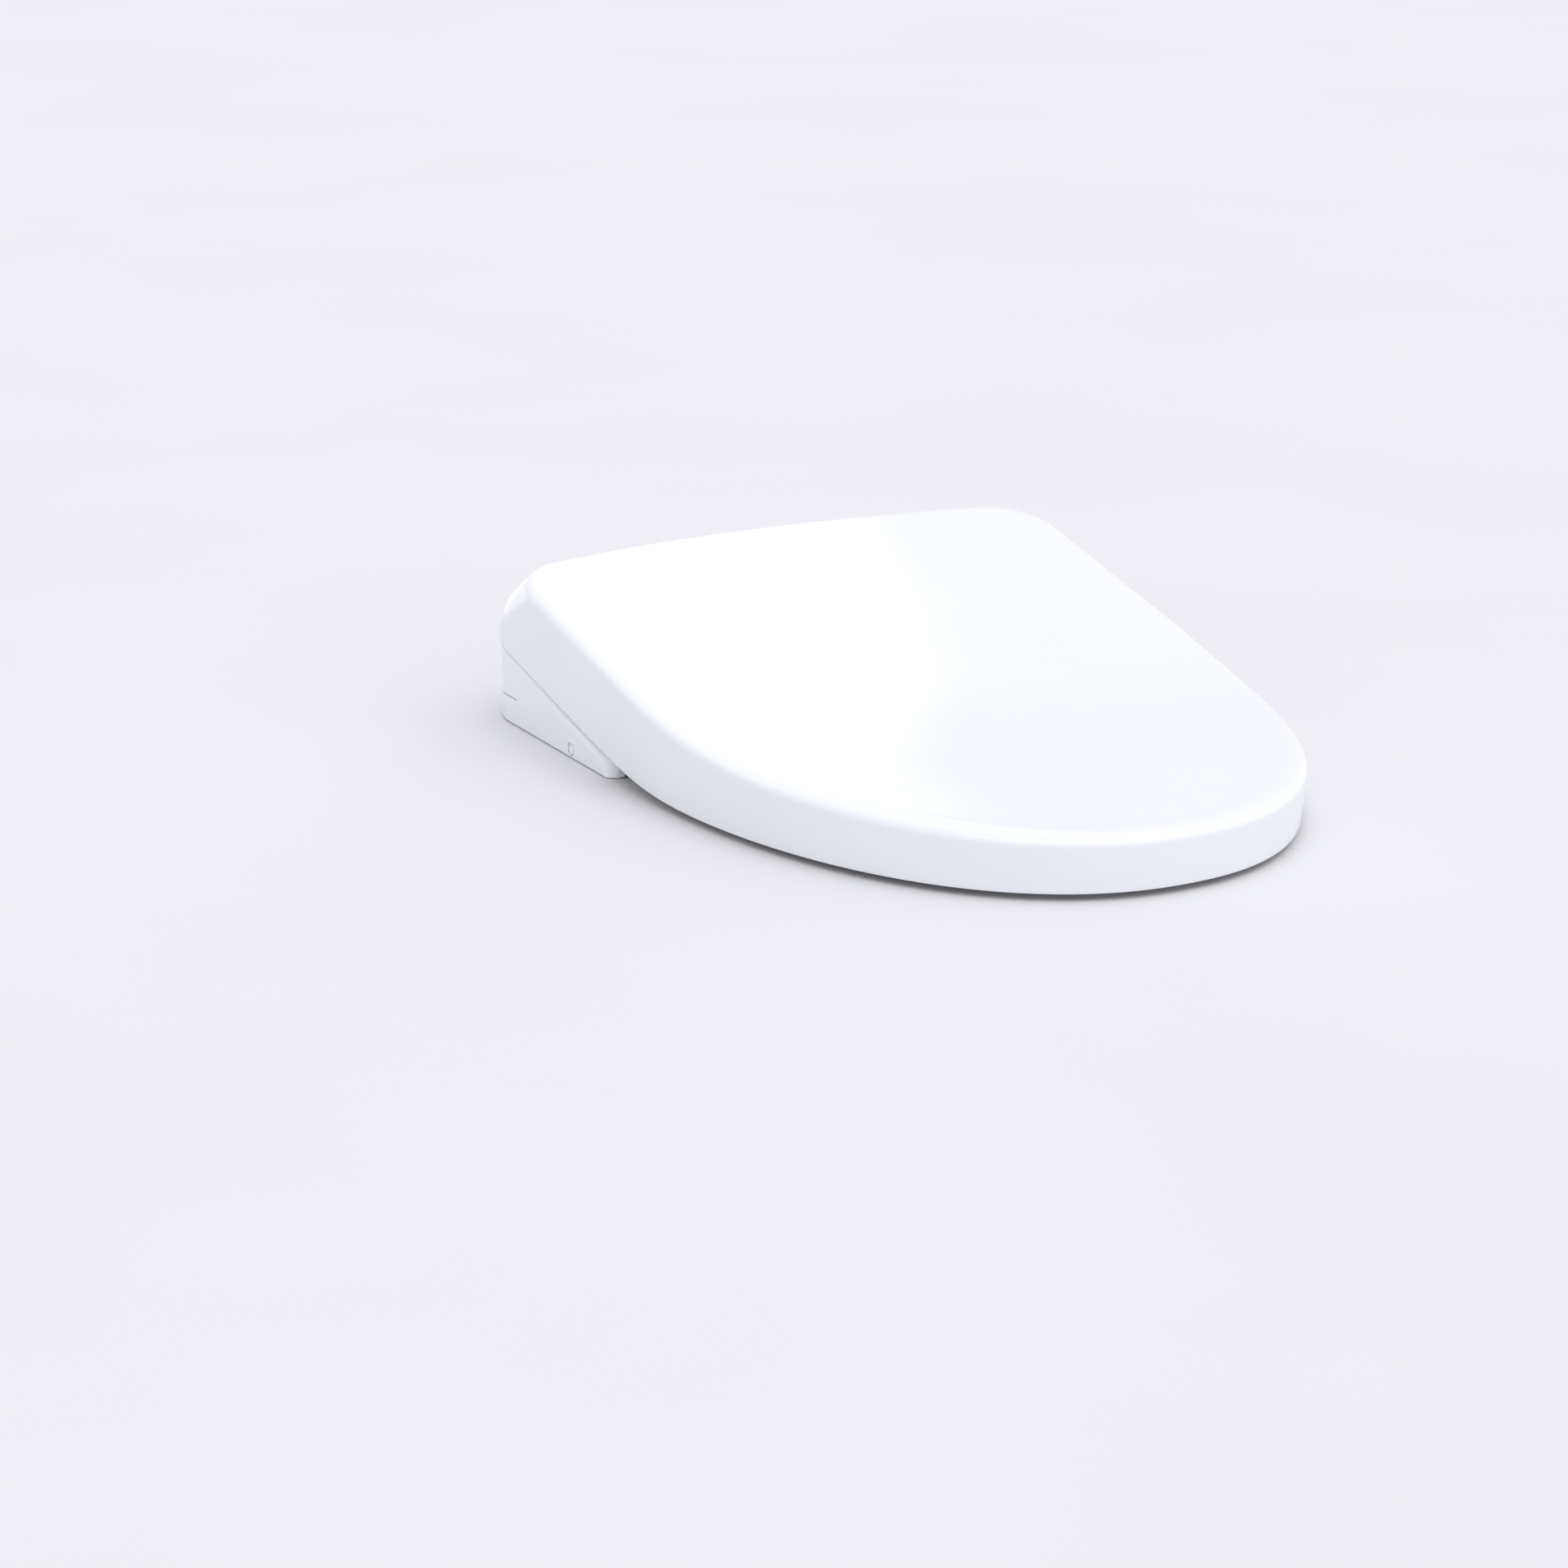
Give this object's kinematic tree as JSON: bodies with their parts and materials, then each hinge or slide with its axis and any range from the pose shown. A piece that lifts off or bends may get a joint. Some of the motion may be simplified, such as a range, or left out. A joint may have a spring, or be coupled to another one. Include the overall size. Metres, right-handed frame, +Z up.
{
  "type": "electric bidet seat",
  "caption": "Electric bidet seat: soft-close lid and heated seat ring hinged on a low housing with a sliding spray wand, warm-air dryer and deodorizer.",
  "frame": {"origin": "centre of the bottom of the whole object, in the plane of the bowl rim that it rests on", "axes": "+Z up, +Y towards the rear edge and hinges, +X across the width, towards the sitter's left"},
  "size_m": [0.387, 0.53, 0.1075],
  "materials": {
    "white_gloss": "polished moulded plastic",
    "white_satin": "satin moulded plastic",
    "grey_plastic": "fine moulded texture",
    "dark_plastic": "fine moulded texture",
    "rubber": "soft matt",
    "steel": "turned",
    "brass_nickel": "nickel plated",
    "tube": "silicone",
    "wand_white": "polished",
    "heater_foil": "etched foil",
    "board_green": "lacquered"
  },
  "bodies": {
    "housing": {"base_case": "white_satin", "top_cover": "white_gloss", "side_cover_left": "white_gloss", "side_cover_right": "white_gloss", "rear_cover": "white_gloss", "front_panel": "white_gloss", "mounting_plate": "grey_plastic", "mount_bushes": "rubber", "base_pads": "rubber", "case_screws": "steel", "seat_damper": "dark_plastic", "lid_damper": "dark_plastic", "water_inlet": "brass_nickel", "filter_socket": "grey_plastic", "solenoid_valve": "dark_plastic", "heater_tank": "grey_plastic", "flow_pump": "steel", "water_tubes": "tube", "wand_guide": "grey_plastic", "wand_motor": "steel", "blower_housing": "grey_plastic", "fan_motor": "steel", "dryer_duct": "grey_plastic", "dryer_heater": "heater_foil", "deodorizer_case": "grey_plastic", "circuit_board": "board_green", "board_parts": "dark_plastic", "power_supply": "steel", "cord_gland": "dark_plastic", "receiver_window": "dark_plastic"},
    "seat": {"seat_top": "white_gloss", "seat_bottom": "white_satin", "seat_heater": "heater_foil", "seat_bumpers": "rubber", "seat_hinge_left": "white_satin", "seat_hinge_right": "white_satin", "seat_shaft": "steel"},
    "lid": {"lid_shell": "white_gloss", "lid_bumpers": "rubber", "lid_hinge_left": "white_satin", "lid_hinge_right": "white_satin", "lid_shaft": "steel"},
    "wand": {"wand_tube": "wand_white", "wand_tip": "wand_white", "wand_rack": "grey_plastic"},
    "pinion": {"wand_pinion": "grey_plastic"},
    "gate": {"wand_gate": "white_gloss"},
    "dryer_flap": {"dryer_flap": "white_gloss"},
    "fan": {"fan_impeller": "dark_plastic"},
    "deodorizer_fan": {"deodorizer_fan": "dark_plastic"},
    "cartridge": {"deodorizer_cartridge": "white_gloss"},
    "plug": {"drain_plug": "white_gloss"},
    "release": {"release_button": "white_gloss", "latch_bar": "grey_plastic"}
  },
  "joints": [
    {"name": "seat_hinge", "type": "hinge", "parent": "housing", "child": "seat", "pos_m": [0, 0.248, 0.043], "axis": [-1, 0, 0], "range_deg": [0, 100]},
    {"name": "lid_hinge", "type": "hinge", "parent": "seat", "child": "lid", "pos_m": [0, 0.248, 0.043], "axis": [1, 0, 0], "range_deg": [-100, 0]},
    {"name": "wand_slide", "type": "slide", "parent": "housing", "child": "wand", "axis": [0, -0.866, -0.5], "range_m": [0, 0.08]},
    {"name": "pinion_spin", "type": "hinge", "parent": "housing", "child": "pinion", "pos_m": [0.017, 0.14118, 0.0345], "axis": [0, -0.5, 0.866], "range_deg": [0, 660]},
    {"name": "gate_hinge", "type": "hinge", "parent": "housing", "child": "gate", "pos_m": [0, 0.1136, 0.0376], "axis": [-1, 0, 0], "range_deg": [0, 90.5]},
    {"name": "dryer_flap_hinge", "type": "hinge", "parent": "housing", "child": "dryer_flap", "pos_m": [0.058, 0.1136, 0.0376], "axis": [-1, 0, 0], "range_deg": [0, 75]},
    {"name": "fan_spin", "type": "hinge", "parent": "housing", "child": "fan", "pos_m": [0.062, 0.192, 0.0155], "axis": [0, 0, 1], "continuous": true},
    {"name": "deodorizer_fan_spin", "type": "hinge", "parent": "housing", "child": "deodorizer_fan", "pos_m": [0.117, 0.173, 0.03], "axis": [1, 0, 0], "continuous": true},
    {"name": "cartridge_slide", "type": "slide", "parent": "housing", "child": "cartridge", "axis": [1, 0, 0], "range_m": [0, 0.055]},
    {"name": "plug_turn", "type": "hinge", "parent": "housing", "child": "plug", "pos_m": [0.18, 0.214, 0.014], "axis": [1, 0, 0], "range_deg": [0, 90]},
    {"name": "release_slide", "type": "slide", "parent": "housing", "child": "release", "axis": [1, 0, 0], "range_m": [0, 0.003], "stiffness_N_per_m": 500, "springref_m": -0.002}
  ],
  "couplings": [
    {"joint": "pinion_spin", "follows": "wand_slide", "rad_per_m": 142.86},
    {"joint": "gate_hinge", "follows": "wand_slide", "rad_per_m": 19.635}
  ]
}
